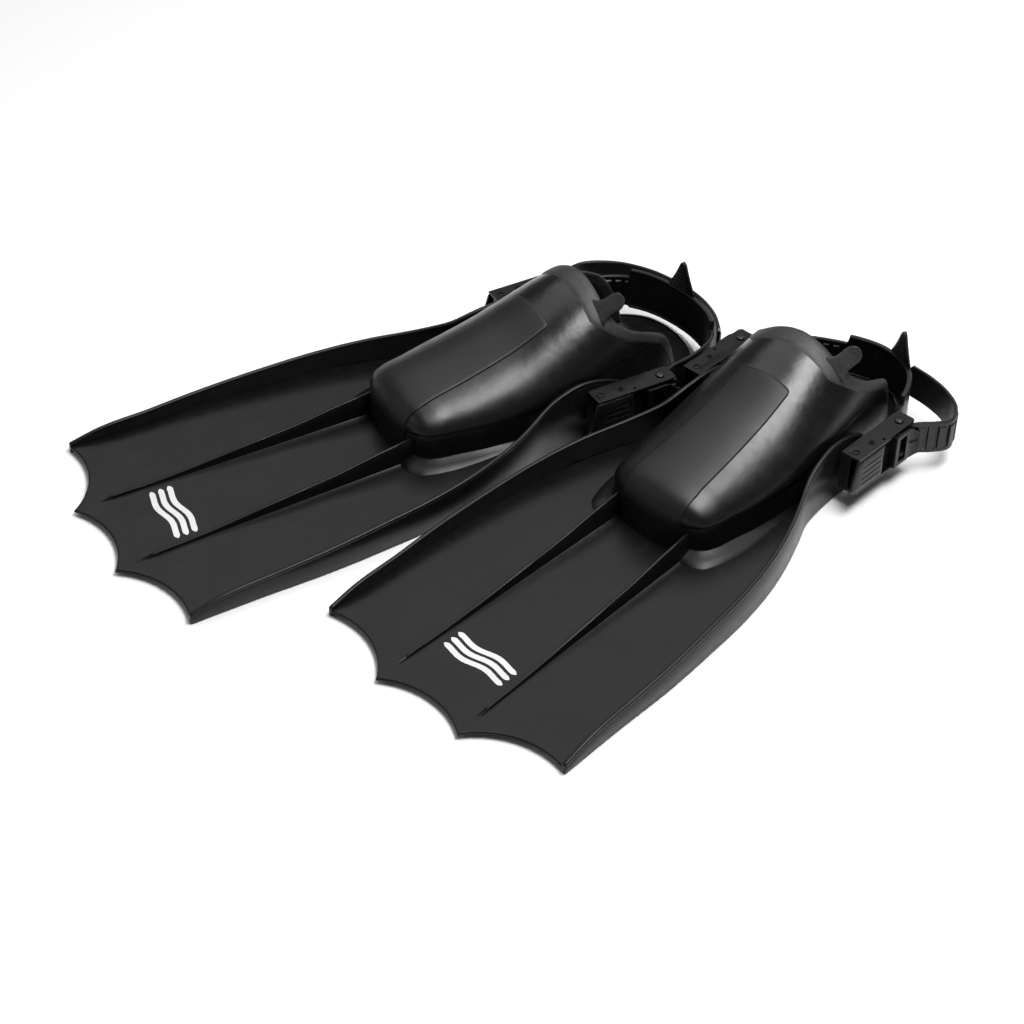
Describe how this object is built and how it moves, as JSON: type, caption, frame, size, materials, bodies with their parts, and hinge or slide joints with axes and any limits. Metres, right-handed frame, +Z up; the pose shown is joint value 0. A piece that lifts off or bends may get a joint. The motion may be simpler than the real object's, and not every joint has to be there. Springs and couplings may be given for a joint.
{
  "type": "swim fins",
  "caption": "Pair of black swim fins with ribbed scalloped blades, closed-toe open-heel foot pockets and adjustable heel straps in side buckles.",
  "frame": {"origin": "bottom centre of the pair's box, on the surface that the fins lie on", "axes": "+Z up, blades towards -Y, heels towards +Y, +X towards the left foot's fin; each fin is turned 8.47 degrees so the blades spread"},
  "size_m": [0.4622, 0.5538, 0.0978],
  "materials": {
    "blade_plastic": "satin charcoal black",
    "rail_rubber": "satin black",
    "pocket_rubber": "glossy black",
    "panel_rubber": "fine matte dark grey",
    "collar_rubber": "matte dark grey",
    "strap_rubber": "satin black",
    "buckle_plastic": "satin black",
    "rivet_plastic": "satin black",
    "roller_plastic": "smooth black",
    "pin_steel": "plain steel",
    "spring_steel": "bright steel"
  },
  "bodies": {
    "left_fin": {"left_blade": "blade_plastic", "left_foot_pocket": "pocket_rubber", "left_instep_panel": "panel_rubber", "left_ankle_collar": "collar_rubber", "left_outer_rail": "rail_rubber", "left_outer_anchor_stud": "buckle_plastic", "left_inner_rail": "rail_rubber", "left_inner_anchor_stud": "buckle_plastic"},
    "left_strap": {"left_heel_strap": "strap_rubber", "left_outer_buckle_frame": "buckle_plastic", "left_outer_lever_pin": "pin_steel", "left_outer_lever_spring": "spring_steel", "left_outer_roller_pin": "rivet_plastic", "left_inner_buckle_frame": "buckle_plastic", "left_inner_lever_pin": "pin_steel", "left_inner_lever_spring": "spring_steel", "left_inner_roller_pin": "rivet_plastic"},
    "left_outer_lever": {"left_outer_release_lever": "buckle_plastic"},
    "left_outer_roller": {"left_outer_strap_roller": "roller_plastic"},
    "left_inner_lever": {"left_inner_release_lever": "buckle_plastic"},
    "left_inner_roller": {"left_inner_strap_roller": "roller_plastic"},
    "right_fin": {"right_blade": "blade_plastic", "right_foot_pocket": "pocket_rubber", "right_instep_panel": "panel_rubber", "right_ankle_collar": "collar_rubber", "right_outer_rail": "rail_rubber", "right_outer_anchor_stud": "buckle_plastic", "right_inner_rail": "rail_rubber", "right_inner_anchor_stud": "buckle_plastic"},
    "right_strap": {"right_heel_strap": "strap_rubber", "right_outer_buckle_frame": "buckle_plastic", "right_outer_lever_pin": "pin_steel", "right_outer_lever_spring": "spring_steel", "right_outer_roller_pin": "rivet_plastic", "right_inner_buckle_frame": "buckle_plastic", "right_inner_lever_pin": "pin_steel", "right_inner_lever_spring": "spring_steel", "right_inner_roller_pin": "rivet_plastic"},
    "right_outer_lever": {"right_outer_release_lever": "buckle_plastic"},
    "right_outer_roller": {"right_outer_strap_roller": "roller_plastic"},
    "right_inner_lever": {"right_inner_release_lever": "buckle_plastic"},
    "right_inner_roller": {"right_inner_strap_roller": "roller_plastic"}
  },
  "joints": [
    {"name": "right_fin_slide", "type": "slide", "parent": "left_fin", "child": "right_fin", "axis": [-1, 0, 0], "range_m": [0, 0.15]},
    {"name": "left_strap_swing", "type": "hinge", "parent": "left_fin", "child": "left_strap", "pos_m": [0.07776, 0.16142, 0.0295], "axis": [0.9891, 0.1473, 0], "range_deg": [0, 60]},
    {"name": "left_outer_lever_press", "type": "hinge", "parent": "left_strap", "child": "left_outer_lever", "pos_m": [0.14726, 0.18491, 0.0295], "axis": [0, 0, 1], "range_deg": [-7, 0], "stiffness_Nm_per_rad": 0.15, "springref_deg": 11.46},
    {"name": "left_outer_roller_spin", "type": "hinge", "parent": "left_strap", "child": "left_outer_roller", "pos_m": [0.14133, 0.2179, 0.0295], "axis": [0, 0, 1], "continuous": true},
    {"name": "left_inner_lever_press", "type": "hinge", "parent": "left_strap", "child": "left_inner_lever", "pos_m": [0.00443, 0.16364, 0.0295], "axis": [0, 0, 1], "range_deg": [0, 7], "stiffness_Nm_per_rad": 0.15, "springref_deg": -11.46},
    {"name": "left_inner_roller_spin", "type": "hinge", "parent": "left_strap", "child": "left_inner_roller", "pos_m": [0.00049, 0.19692, 0.0295], "axis": [0, 0, 1], "continuous": true},
    {"name": "right_strap_swing", "type": "hinge", "parent": "right_fin", "child": "right_strap", "pos_m": [-0.07776, 0.08471, 0.0295], "axis": [0.9891, -0.1473, 0], "range_deg": [0, 60]},
    {"name": "right_outer_lever_press", "type": "hinge", "parent": "right_strap", "child": "right_outer_lever", "pos_m": [-0.14726, 0.10821, 0.0295], "axis": [0, 0, 1], "range_deg": [0, 7], "stiffness_Nm_per_rad": 0.15, "springref_deg": -11.46},
    {"name": "right_outer_roller_spin", "type": "hinge", "parent": "right_strap", "child": "right_outer_roller", "pos_m": [-0.14133, 0.14119, 0.0295], "axis": [0, 0, 1], "continuous": true},
    {"name": "right_inner_lever_press", "type": "hinge", "parent": "right_strap", "child": "right_inner_lever", "pos_m": [-0.00443, 0.08694, 0.0295], "axis": [0, 0, 1], "range_deg": [-7, 0], "stiffness_Nm_per_rad": 0.15, "springref_deg": 11.46},
    {"name": "right_inner_roller_spin", "type": "hinge", "parent": "right_strap", "child": "right_inner_roller", "pos_m": [-0.00049, 0.12022, 0.0295], "axis": [0, 0, 1], "continuous": true}
  ]
}
